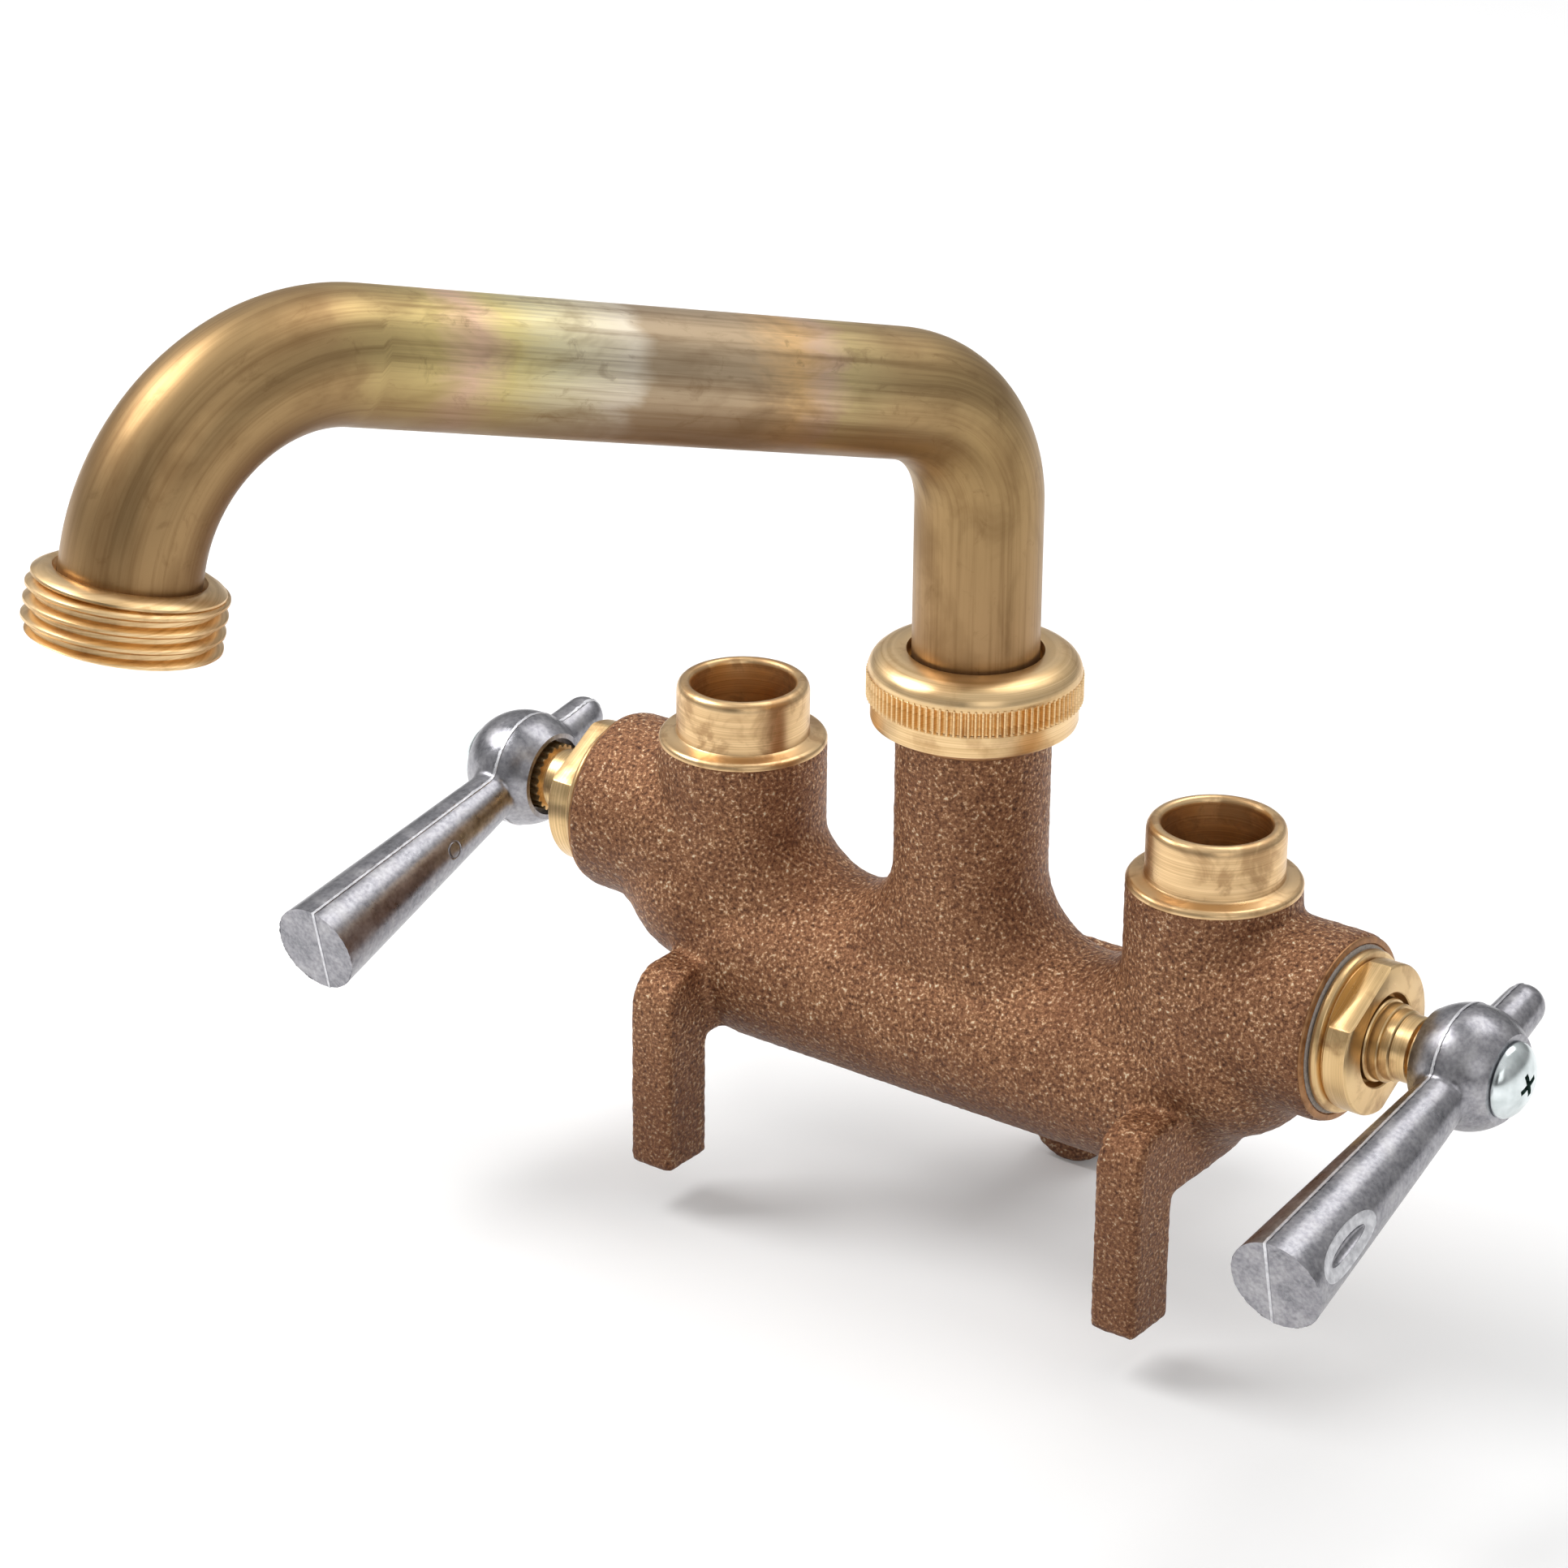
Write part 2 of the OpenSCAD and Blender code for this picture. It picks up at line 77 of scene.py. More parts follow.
def cast_leg(x):
    """One leg's pattern: a square bar with its top front edge well rounded, and its web to the body."""
    bpy.ops.mesh.primitive_cube_add(
        size=1, location=(x * mm, -18.95 * mm, -0.5 * mm), scale=(7.7 * mm, 10 * mm, 33.1 * mm))
    bpy.ops.object.transform_apply(location=True, rotation=True, scale=True)
    bar = bpy.context.object
    bpy.ops.object.mode_set(mode="EDIT")
    bpy.ops.mesh.select_mode(type="EDGE")
    bpy.ops.mesh.select_all(action="DESELECT")
    bpy.ops.object.mode_set(mode="OBJECT")
    for edge in bar.data.edges:
        ends = [bar.data.vertices[i].co for i in edge.vertices]
        edge.select = all(end.y < -23 * mm and end.z > 15 * mm for end in ends)
    bpy.ops.object.mode_set(mode="EDIT")
    bpy.ops.mesh.bevel(offset=6.5 * mm, segments=8, affect="EDGES")
    bpy.ops.object.mode_set(mode="OBJECT")
    return [bar, cast_block((x - 3.85, -17.2, 3.2), (x + 3.85, -2, 16.05), 0.8)]


def joined(pieces, name):
    """Joins the pieces of a pattern into one object that sits at the origin."""
    bpy.ops.object.select_all(action="DESELECT")
    for piece in pieces:
        piece.select_set(True)
    bpy.context.view_layer.objects.active = pieces[0]
    bpy.ops.object.transform_apply(location=True, rotation=True, scale=True)
    if len(pieces) > 1:
        bpy.ops.object.join()
    whole = bpy.context.object
    whole.name = whole.data.name = name
    return whole


def use_modifier(piece, kind, **settings):
    """Adds a modifier with its settings and applies it to the mesh."""
    bpy.ops.object.select_all(action="DESELECT")
    piece.select_set(True)
    bpy.context.view_layer.objects.active = piece
    step = piece.modifiers.new(kind.title(), kind)
    for setting, value in settings.items():
        setattr(step, setting, value)
    bpy.ops.object.modifier_apply(modifier=step.name)


def cut(piece, tool, operation="DIFFERENCE"):
    """Cuts a piece with a tool solid, which is then thrown away."""
    use_modifier(piece, "BOOLEAN", object=tool, operation=operation, solver="EXACT")
    bpy.data.objects.remove(tool, do_unlink=True)


pattern = [cast_rod((-36, 0, 14.55), (36, 0, 14.55), 14.9, 14.9),
           cast_rod((0, 0, 14), (0, 0, 66.7), 11.7, 11.7)]
for side in (-1, 1):
    x = inlet_out * side
    pattern += [
        cast_ball((36 * side, 0, 14.55), 14.9),
        cast_rod((36 * side, 0, 14.55), (57.5 * side, 0, valve_up), 13.5, 13.5),
        cast_ball((x, 0, valve_up), 13.05),
        cast_rod((x, 0, valve_up), (x + 7 * side, 0, valve_up), 13.05, 14.15),
        cast_rod((x + 7 * side, 0, valve_up), (66.6 * side, 0, valve_up), 14.2, 14.2),
        cast_ball((47.36 * side, 0, 23.8), 14.55),
        cast_rod((x, 0, 20), (x, 0, 48.6), 13.05, 13.05),
    ] + cast_leg(x)
    bpy.ops.mesh.primitive_torus_add(
        major_segments=96, minor_segments=48, major_radius=21.43 * mm, minor_radius=11.7 * mm,
        location=(21.43 * mm * side, 0, 39.68 * mm), rotation=(math.pi / 2, 0, 0))
    bpy.ops.object.transform_apply(location=True, rotation=True, scale=True)
    bpy.ops.object.mode_set(mode="EDIT")
    bpy.ops.mesh.bisect(plane_co=(0, 0, 39.68 * mm), plane_no=(0, 0, 1), use_fill=True, clear_outer=True)
    bpy.ops.object.mode_set(mode="OBJECT")
    pattern.append(bpy.context.object)
pattern += [
    cast_block((-7.4, 6, 2), (7.4, 38, 12), 1.6),
    cast_block((-7.4, 29, -17.1), (7.4, 38, 12), 1.6),
    cast_rod((0, 29, -17.1), (0, 38, -17.1), 7.4, 7.4),
]
casting = joined(pattern, "valve_body")
use_modifier(casting, "REMESH", mode="VOXEL", voxel_size=0.62 * mm)
use_modifier(casting, "SMOOTH", factor=0.5, iterations=14)
sand = bpy.data.textures.new("moulding_sand", "CLOUDS")
sand.noise_scale = 1.0 * mm
sand.noise_depth = 1
use_modifier(casting, "DISPLACE", texture=sand, texture_coords="LOCAL", strength=0.24 * mm, mid_level=0.5)
for side in (-1, 1):
    x = inlet_out * side
    cut(casting,
        joined([cast_rod((38 * side, 0, valve_up), (70 * side, 0, valve_up), 9.7, 9.7)], "chamber_drill"))
    cut(casting, joined([cast_rod((x, 0, valve_up), (x, 0, 60), 9.2, 9.2)], "inlet_drill"))
cut(casting, joined([cast_rod((0, 0, 20), (0, 0, 80), 10.5, 10.5)], "neck_drill"))
cut(casting, joined([cast_rod((0, 20, -15.1), (0, 45, -15.1), 3.2, 3.2)], "clamp_screw_drill"))


def srgb(r, g, b):
    """A colour as seen on a screen, 0 to 255, as the shader's linear values."""
    return tuple(c / 3294.6 if c <= 10 else ((c / 255 + 0.055) / 1.055) ** 2.4 for c in (r, g, b)) + (1,)


def finish(name, metallic, roughness):
    """A new material: its node tree, its shader and the piece's own coordinates."""
    made = bpy.data.materials.new(name)
    made.use_nodes = True
    tree = made.node_tree
    shader = tree.nodes["Principled BSDF"]
    shader.inputs["Metallic"].default_value = metallic
    shader.inputs["Roughness"].default_value = roughness
    place = tree.nodes.new("ShaderNodeTexCoord").outputs["Object"]
    return made, tree, shader, place


def stretched(tree, place, x, y, z):
    """The coordinates stretched, so that a pattern runs long in one direction."""
    node = tree.nodes.new("ShaderNodeMapping")
    node.inputs["Scale"].default_value = (x, y, z)
    tree.links.new(place, node.inputs["Vector"])
    return node.outputs["Vector"]


def noise(tree, place, per_metre, detail=3, roughness=0.5, distortion=0):
    """A soft random pattern with so many grains to the metre."""
    node = tree.nodes.new("ShaderNodeTexNoise")
    tree.links.new(place, node.inputs["Vector"])
    for socket, value in (("Scale", per_metre), ("Detail", detail), ("Roughness", roughness),
                          ("Distortion", distortion)):
        node.inputs[socket].default_value = value
    return node.outputs["Fac"]


def ramp(tree, value, stops):
    """Colours laid along a value."""
    node = tree.nodes.new("ShaderNodeValToRGB")
    tree.links.new(value, node.inputs["Fac"])
    while len(node.color_ramp.elements) < len(stops):
        node.color_ramp.elements.new(0.5)
    for element, (position, colour) in zip(node.color_ramp.elements, stops):
        element.position = position
        element.color = colour
    return node.outputs["Color"]


def blend_colour(tree, amount, first, second, how="MIX"):
    """One colour over another by an amount, which may be a pattern."""
    node = tree.nodes.new("ShaderNodeMix")
    node.data_type = "RGBA"
    node.blend_type = how
    for socket, value in (("Factor_Float", amount), ("A_Color", first), ("B_Color", second)):
        target = next(i for i in node.inputs if i.identifier == socket)
        if isinstance(value, bpy.types.NodeSocket):
            tree.links.new(value, target)
        else:
            target.default_value = value
    return next(o for o in node.outputs if o.identifier == "Result_Color")


def spread(tree, value, low, high):
    """A pattern spread over a range, for roughness and amounts."""
    node = tree.nodes.new("ShaderNodeMapRange")
    tree.links.new(value, node.inputs["Value"])
    node.inputs["From Min"].default_value = 0.3
    node.inputs["From Max"].default_value = 0.7
    node.inputs["To Min"].default_value = low
    node.inputs["To Max"].default_value = high
    return node.outputs["Result"]


def bump(tree, shader, height, depth, strength=1.0):
    """Raises the surface by a pattern, to a depth in metres."""
    node = tree.nodes.new("ShaderNodeBump")
    node.inputs["Strength"].default_value = strength
    node.inputs["Distance"].default_value = depth
    tree.links.new(height, node.inputs["Height"])
    tree.links.new(node.outputs["Normal"], shader.inputs["Normal"])


def eased(tree, value, low, high, at_low, at_high):
    """A value eased from one level to another between two marks."""
    node = tree.nodes.new("ShaderNodeMapRange")
    node.interpolation_type = "SMOOTHSTEP"
    tree.links.new(value, node.inputs["Value"])
    for socket, mark in zip(("From Min", "From Max", "To Min", "To Max"), (low, high, at_low, at_high)):
        node.inputs[socket].default_value = mark
    return node.outputs["Result"]


bronze, tree, shader, place = finish("sand_cast_bronze", 0.6, 0.5)
grain = noise(tree, place, 1800, 4, 0.62)
skin = ramp(tree, grain, [
    (0.3, srgb(60, 33, 20)), (0.42, srgb(128, 85, 57)), (0.56, srgb(178, 127, 89)),
    (0.62, srgb(228, 182, 137)),
    (0.68, srgb(255, 243, 214))])
patch = spread(tree, noise(tree, place, 70, 3, 0.6), 0.0, 0.34)
skin = blend_colour(tree, patch, skin, srgb(104, 58, 35))
# Painted shade: faces that look downwards are darkened towards a deep brown.
facing = tree.nodes.new("ShaderNodeSeparateXYZ")
tree.links.new(tree.nodes.new("ShaderNodeNewGeometry").outputs["Normal"], facing.inputs["Vector"])
skin = blend_colour(tree, eased(tree, facing.outputs["Z"], -0.9, 0.1, 0.55, 0), skin, srgb(74, 43, 26))
# Painted shade: the casting grows darker towards its bottom, over the legs and the clamp lug.
height = tree.nodes.new("ShaderNodeSeparateXYZ")
tree.links.new(place, height.inputs["Vector"])
skin = blend_colour(tree, eased(tree, height.outputs["Z"], -12 * mm, 18 * mm, 0.34, 0), skin,
                    srgb(84, 46, 27))
tree.links.new(skin, shader.inputs["Base Color"])
tree.links.new(spread(tree, noise(tree, place, 900, 2), 0.4, 0.56), shader.inputs["Roughness"])
bump(tree, shader, grain, 0.34 * mm, 1.0)
casting.data.materials.append(bronze)
bpy.ops.object.shade_smooth()
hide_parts("body_casting")
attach(casting, "body")

# The inlet stubs are the top of the casting's columns, turned down on a lathe to bright metal, with a
# rounded rim and a bored socket for the supply tube. The shoulder below is faced off in the same cut.
# The heat of the pour and later handling leave brown stains on them.


def turned(name, profile, steps=96):
    """A piece turned on a lathe: its closed profile of radius and height in mm, spun about Z."""
    bpy.ops.object.select_all(action="DESELECT")
    bpy.ops.mesh.primitive_plane_add(size=1 * mm, location=(0, 0, 0))
    piece = bpy.context.object
    piece.name = piece.data.name = name
    bpy.ops.object.mode_set(mode="EDIT")
    bpy.ops.mesh.select_mode(type="VERT")
    bpy.ops.mesh.select_all(action="SELECT")
    bpy.ops.mesh.merge(type="CENTER")
    bpy.ops.transform.translate(value=(profile[0][0] * mm, 0, profile[0][1] * mm))
    closing = [] if profile[0][0] == profile[-1][0] == 0 else profile[:1]
    for (r0, z0), (r1, z1) in zip(profile, profile[1:] + closing):
        bpy.ops.mesh.extrude_region_move(
            TRANSFORM_OT_translate={"value": ((r1 - r0) * mm, 0, (z1 - z0) * mm)})
    bpy.ops.mesh.select_all(action="SELECT")
    bpy.ops.mesh.remove_doubles(threshold=0.001 * mm)
    bpy.ops.mesh.spin(steps=steps, angle=2 * math.pi, center=(0, 0, 0), axis=(0, 0, 1))
    bpy.ops.mesh.select_all(action="SELECT")
    bpy.ops.mesh.remove_doubles(threshold=0.001 * mm)
    bpy.ops.mesh.normals_make_consistent(inside=False)
    bpy.ops.object.mode_set(mode="OBJECT")
    return piece


def put(piece, turn, shift):
    """Turns a piece about the origin, moves it by a shift in metres, and leaves its place in its mesh."""
    bpy.ops.object.select_all(action="DESELECT")
    piece.select_set(True)
    bpy.context.view_layer.objects.active = piece
    piece.matrix_world = Matrix.Translation(shift) @ turn.to_4x4()
    bpy.ops.object.transform_apply(location=True, rotation=True, scale=True)


def hot_copy(piece, name):
    """The left-hand copy of a right-hand piece, with its own mesh."""
    bpy.ops.object.select_all(action="DESELECT")
    copy = piece.copy()
    copy.data = piece.data.copy()
    copy.name = copy.data.name = name
    bpy.context.collection.objects.link(copy)
    copy.scale = (-1, 1, 1)
    copy.select_set(True)
    bpy.context.view_layer.objects.active = copy
    bpy.ops.object.transform_apply(location=True, rotation=True, scale=True)
    bpy.ops.object.mode_set(mode="EDIT")
    bpy.ops.mesh.select_all(action="SELECT")
    bpy.ops.mesh.normals_make_consistent(inside=False)
    bpy.ops.object.mode_set(mode="OBJECT")
    return copy


def smooth_shade(piece, degrees=35):
    """Shades rounds smoothly and keeps edges sharper than the angle."""
    bpy.ops.object.select_all(action="DESELECT")
    piece.select_set(True)
    bpy.context.view_layer.objects.active = piece
    bpy.ops.object.shade_smooth_by_angle(angle=math.radians(degrees))


cold_stub = turned("cold_inlet_stub", [
    (8.1, 43.9), (8.1, 56.9), (8.2, 57.3), (8.45, 57.65), (8.8, 57.8), (9.2, 57.78), (9.65, 57.6),
    (10.0, 57.25),
    (10.2, 56.8), (10.3, 56.2), (10.3, 50.0), (10.4, 49.5), (10.8, 49.2), (12.3, 49.1), (12.8, 48.85),
    (13.05, 48.45),
    (13.05, 48.0), (11.5, 47.6), (10.0, 43.9)])
put(cold_stub, Matrix.Identity(3), (inlet_x, 0, 0))
smooth_shade(cold_stub)
hot_stub = hot_copy(cold_stub, "hot_inlet_stub")
smooth_shade(hot_stub)
stained, tree, shader, place = finish("stained_turned_bronze", 1.0, 0.3)
tool_lines = noise(tree, stretched(tree, place, 30, 30, 4000), 1, 2)
stain = noise(tree, place, 160, 4, 0.6, 0.6)
metal = ramp(tree, tool_lines, [(0.3, srgb(211, 174, 126)), (0.7, srgb(244, 209, 159))])
metal = blend_colour(tree, ramp(tree, stain, [(0.5, (0, 0, 0, 1)), (0.6, (0.5, 0.5, 0.5, 1))]), metal,
                     srgb(161, 119, 78))
tree.links.new(metal, shader.inputs["Base Color"])
tree.links.new(spread(tree, stain, 0.26, 0.44), shader.inputs["Roughness"])
bump(tree, shader, tool_lines, 0.02 * mm, 0.35)
for stub in (cold_stub, hot_stub):
    stub.data.materials.append(stained)
    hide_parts("body_casting")
    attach(stub, "body")

# Each barrel's end and the neck's top are turned too: a thin bright rim round the gasket at each side,
# and a narrow ring with the thread that the spout's nut screws on.
onto_axis = Matrix.Rotation(math.pi / 2, 3, "Y")
cold_rim = turned("cold_barrel_rim", [
    (12.75, 64.6), (12.75, 66.6), (12.9, 66.75), (13.55, 66.75), (13.8, 66.6), (13.85, 66.4),
    (13.75, 66.2), (13.4, 64.6)])
put(cold_rim, onto_axis, (0, 0, valve_z))
hot_rim = hot_copy(cold_rim, "hot_barrel_rim")
neck_ring = turned("neck_ring", [
    (10.4, 60.9), (12.1, 60.9), (12.55, 61.3), (12.6, 61.6), (12.6, 66.4), (12.3, 66.75), (10.4, 66.75)])
faced, tree, shader, place = finish("dull_faced_bronze", 0.9, 0.45)
tone = noise(tree, place, 600, 4, 0.6)
tree.links.new(ramp(tree, tone, [(0.3, srgb(136, 94, 62)), (0.7, srgb(191, 145, 101))]),
               shader.inputs["Base Color"])
tree.links.new(spread(tree, tone, 0.38, 0.52), shader.inputs["Roughness"])
for ring in (cold_rim, hot_rim, neck_ring):
    smooth_shade(ring)
    ring.data.materials.append(faced)
    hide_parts("body_casting")
    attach(ring, "body")

# Inside each barrel sit a brass seat ring, the rubber seat washer with its screw, and a rubber ring on
# the stem; a grey fibre gasket seals the bonnet. They are plain turned or moulded rings, as drawn.
brass, tree, shader, place = finish("plain_turned_brass", 1.0, 0.3)
tone = noise(tree, place, 300, 3)
tree.links.new(ramp(tree, tone, [(0.3, srgb(196, 156, 92)), (0.7, srgb(226, 190, 122))]),
               shader.inputs["Base Color"])
tree.links.new(spread(tree, tone, 0.24, 0.38), shader.inputs["Roughness"])
rubber, tree, shader, place = finish("black_rubber", 0.0, 0.7)
tone = noise(tree, place, 900, 3)
tree.links.new(ramp(tree, tone, [(0.3, srgb(24, 24, 25)), (0.7, srgb(40, 40, 41))]),
               shader.inputs["Base Color"])
bump(tree, shader, tone, 0.03 * mm, 0.4)
fibre, tree, shader, place = finish("grey_fibre", 0.0, 0.85)
tone = noise(tree, place, 1800, 4, 0.7)
tree.links.new(ramp(tree, tone, [(0.3, srgb(170, 164, 160)), (0.7, srgb(218, 213, 207))]),
               shader.inputs["Base Color"])
bump(tree, shader, tone, 0.06 * mm, 0.6)
slip, tree, shader, place = finish("slip_washer_plastic", 0.0, 0.45)
tone = noise(tree, place, 500, 3)
tree.links.new(ramp(tree, tone, [(0.3, srgb(214, 211, 202)), (0.7, srgb(228, 226, 218))]),
               shader.inputs["Base Color"])
tree.links.new(spread(tree, tone, 0.4, 0.55), shader.inputs["Roughness"])
for side in ("hot", "cold"):
    for part, made_of in (("seat", brass), ("bonnet_gasket", fibre), ("seat_washer", rubber),
                          ("washer_screw", brass), ("stem_o_ring", rubber)):
        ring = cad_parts[side + "_" + part]
        ring.data.materials.clear()
        ring.data.materials.append(made_of)

# The bonnets close the barrels: a round flange that presses the gasket and a round head, turned from
# brass bar with a counterbore round the stem. Two flats are milled on the head for the wrench.
cold_bonnet = turned("cold_valve_bonnet", [
    (6.35, 54.6), (9.5, 54.6), (9.5, 66.9), (11.8, 66.9), (12.15, 67.1), (12.25, 67.4), (12.25, 68.0),
    (12.1, 68.3),
    (11.6, 68.45), (11.0, 68.5), (11.0, 68.75), (11.25, 68.8), (11.35, 68.95), (11.35, 72.35),
    (11.2, 72.6), (10.9, 72.75),
    (7.3, 72.75), (7.1, 72.6), (7.1, 70.5), (6.35, 70.5)], 128)
for way in (-1, 1):
    bpy.ops.mesh.primitive_cube_add(
        size=1, location=(-12.5 * mm * way, 0, 72.0 * mm), scale=(6 * mm, 30 * mm, 6.4 * mm))
    flat = joined([bpy.context.object], "wrench_flat")
    put(flat, Matrix.Rotation(math.radians(30), 3, "Z"), (0, 0, 0))
    cut(cold_bonnet, flat)
use_modifier(cold_bonnet, "BEVEL", width=0.16 * mm, segments=2, limit_method="ANGLE",
             angle_limit=math.radians(40))
put(cold_bonnet, onto_axis, (0, 0, valve_z))
smooth_shade(cold_bonnet, 28)
hot_bonnet = hot_copy(cold_bonnet, "hot_valve_bonnet")
smooth_shade(hot_bonnet, 28)
bar_brass, tree, shader, place = finish("bonnet_brass", 1.0, 0.26)
tool_lines = noise(tree, stretched(tree, place, 5000, 20, 20), 1, 2)
tarnish = noise(tree, place, 190, 4, 0.6, 0.5)
metal = ramp(tree, tool_lines, [(0.3, srgb(206, 172, 121)), (0.7, srgb(237, 204, 152))])
metal = blend_colour(tree, ramp(tree, tarnish, [(0.52, (0, 0, 0, 1)), (0.7, (0.7, 0.7, 0.7, 1))]), metal,
                     srgb(159, 119, 78))
tree.links.new(metal, shader.inputs["Base Color"])
tree.links.new(spread(tree, tarnish, 0.26, 0.42), shader.inputs["Roughness"])
bump(tree, shader, tool_lines, 0.02 * mm, 0.35)
for bonnet, node in ((cold_bonnet, "cold_bonnet"), (hot_bonnet, "hot_bonnet")):
    bonnet.data.materials.append(bar_brass)
    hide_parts(node)
    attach(bonnet, "body")

# The stems are turned brass spindles that screw in and out of the bonnets. Steps show in the bonnet's
# counterbore, then a plain neck, and the end is rolled with splines that key it to the handle.


def toothed(name, teeth, r_low, r_high, low, high):
    """A rod with straight teeth along it, in mm: a ring with pairs of points drawn in, then extruded."""
    bpy.ops.object.select_all(action="DESELECT")
    bpy.ops.mesh.primitive_circle_add(vertices=teeth * 4, radius=r_high * mm, fill_type="NGON",
                                      location=(0, 0, low * mm))
    rod = bpy.context.object
    rod.name = rod.data.name = name
    bpy.ops.object.transform_apply(location=True, rotation=True, scale=True)
    bpy.ops.object.mode_set(mode="EDIT")
    bpy.ops.mesh.select_mode(type="VERT")
    bpy.ops.mesh.select_all(action="DESELECT")
    bpy.ops.object.mode_set(mode="OBJECT")
    for point in rod.data.vertices:
        point.select = round(math.atan2(point.co.y, point.co.x) / (2 * math.pi) * teeth * 4) % 4 in (0, 1)
    bpy.ops.object.mode_set(mode="EDIT")
    bpy.ops.transform.resize(value=(r_low / r_high, r_low / r_high, 1), center_override=(0, 0, 0))
    bpy.ops.mesh.select_all(action="SELECT")
    bpy.ops.mesh.extrude_region_move(TRANSFORM_OT_translate={"value": (0, 0, (high - low) * mm)})
    bpy.ops.mesh.select_all(action="SELECT")
    bpy.ops.mesh.normals_make_consistent(inside=False)
    bpy.ops.object.mode_set(mode="OBJECT")
    return rod


spindle = turned("spindle", [
    (0, 42.0), (7.1, 42.0), (7.4, 42.3), (7.4, 46.0), (5.0, 46.0), (5.0, 55.5), (6.3, 55.5), (6.3, 61.5),
    (4.55, 61.5),
    (4.55, 64.9), (6.3, 64.9), (6.3, 72.5), (6.15, 72.75), (5.85, 72.85), (5.85, 74.3), (5.7, 74.5),
    (5.35, 74.6),
    (5.35, 75.85), (5.2, 76.05), (5.0, 76.15), (5.0, 78.5), (4.75, 78.75), (4.5, 78.85), (4.5, 80.2),
    (0, 80.2)])
splines = toothed("splines", 24, 5.05, 5.5, 79.5, 90.3)
cold_stem = joined([spindle, splines], "cold_valve_stem")
put(cold_stem, onto_axis, (0, 0, valve_z))
smooth_shade(cold_stem, 30)
hot_stem = hot_copy(cold_stem, "hot_valve_stem")
smooth_shade(hot_stem, 30)
for stem, side in ((cold_stem, "cold"), (hot_stem, "hot")):
    stem.data.materials.append(bar_brass)
    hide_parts(side + "_stem")
    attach(stem, side + "_valve")

# The handles are zinc die castings, tumbled to a satin skin: a ball hub with a counterbore over the
# splines, a lever that widens to a flat end, and a short round tail. A fine flash line runs round each
# where the two halves of the die met.
hub_out = 86.4
hub_x = hub_out * mm
droop = math.radians(13.6)
lever_way = Vector((0, -math.cos(droop), -math.sin(droop)))


def on_lever(distance):
    """A point along the lever's middle line, in mm from the hub's centre."""
    return Vector((hub_out, 0, valve_up)) + lever_way * distance


handle = joined([
    cast_ball((hub_out, 0, valve_up), 9.3), cast_rod((79.8, 0, valve_up), (hub_out, 0, valve_up), 7.0, 7.6),
    cast_rod(on_lever(0), on_lever(55.0), 3.45, 7.36), cast_rod(on_lever(0), on_lever(-15.4), 4.4, 3.3),
    cast_ball(on_lever(-15.4), 3.3)], "cold_lever_handle")
use_modifier(handle, "REMESH", mode="VOXEL", voxel_size=0.36 * mm)
junction = handle.vertex_groups.new(name="hub_fillet")
hub = Vector((hub_out, 0, valve_up)) * mm
for point in handle.data.vertices:
    reach = abs((point.co - hub).dot(lever_way)) / mm
    junction.add([point.index], 1.0 if reach < 13 else 0.12, "REPLACE")
use_modifier(handle, "SMOOTH", factor=0.5, iterations=22, vertex_group="hub_fillet")
handle.vertex_groups.clear()


def sliced(piece, place, way):
    """Cuts a piece off flat at a place and keeps what lies behind it."""
    bpy.ops.object.select_all(action="DESELECT")
    piece.select_set(True)
    bpy.context.view_layer.objects.active = piece
    bpy.ops.object.mode_set(mode="EDIT")
    bpy.ops.mesh.select_all(action="SELECT")
    bpy.ops.mesh.bisect(plane_co=place, plane_no=way, use_fill=True, clear_outer=True)
    bpy.ops.object.mode_set(mode="OBJECT")


sliced(handle, on_lever(52.8) * mm, lever_way)
cut(handle, joined([cast_rod((92.84, 0, valve_up), (99, 0, valve_up), 9.8, 9.8)], "hub_facing"))
cut(handle, joined([cast_rod((74, 0, valve_up), (80.3, 0, valve_up), 9.8, 9.8)], "hub_facing"))
flash = handle.copy()
flash.data = handle.data.copy()
bpy.context.collection.objects.link(flash)
use_modifier(flash, "DISPLACE", strength=0.12 * mm, mid_level=0.0)
sliced(flash, (hub_x - 1.0 * mm, 0, 0), (1, 0, 0))
sliced(flash, (hub_x - 1.4 * mm, 0, 0), (-1, 0, 0))
cut(flash, joined([cast_rod((80.5, 0, valve_up), (90.4, 0, valve_up), 5.7, 5.7)], "spline_broach"))
cut(handle, joined([cast_rod((78, 0, valve_up), (82.4, 0, valve_up), 6.3, 6.3)], "counterbore_drill"))
cut(handle, joined([cast_rod((82, 0, valve_up), (90.4, 0, valve_up), 5.6, 5.6)], "spline_broach"))


def lever_side(degrees):
    """The way straight out of the lever's side, so far up from the outer side."""
    lever_up = Vector((1, 0, 0)).cross(lever_way) * -1
    return Vector((1, 0, 0)) * math.cos(math.radians(degrees)) + lever_up * math.sin(math.radians(degrees))


zinc, tree, shader, place = finish("tumbled_zinc", 1.0, 0.5)
mottle = noise(tree, place, 230, 5, 0.65, 0.5)
fine = noise(tree, place, 1500, 3)
metal = ramp(tree, mottle,
             [(0.3, srgb(115, 115, 121)), (0.5, srgb(145, 143, 149)), (0.7, srgb(178, 176, 179))])
metal = blend_colour(tree, 0.25, metal,
                     ramp(tree, fine, [(0.3, srgb(120, 120, 124)), (0.7, srgb(226, 226, 228))]))
tree.links.new(metal, shader.inputs["Base Color"])
tree.links.new(spread(tree, mottle, 0.24, 0.4), shader.inputs["Roughness"])
bump(tree, shader, fine, 0.03 * mm, 0.35)
trimmed, tree, shader, place = finish("trimmed_zinc", 1.0, 0.5)
tree.links.new(ramp(tree, noise(tree, place, 900, 3),
                    [(0.3, srgb(193, 193, 197)), (0.7, srgb(236, 236, 239))]),
               shader.inputs["Base Color"])
for half in (handle, flash):
    half.data.materials.append(zinc)
    half.data.materials.append(trimmed)
for face in flash.data.polygons:
    face.material_index = 1
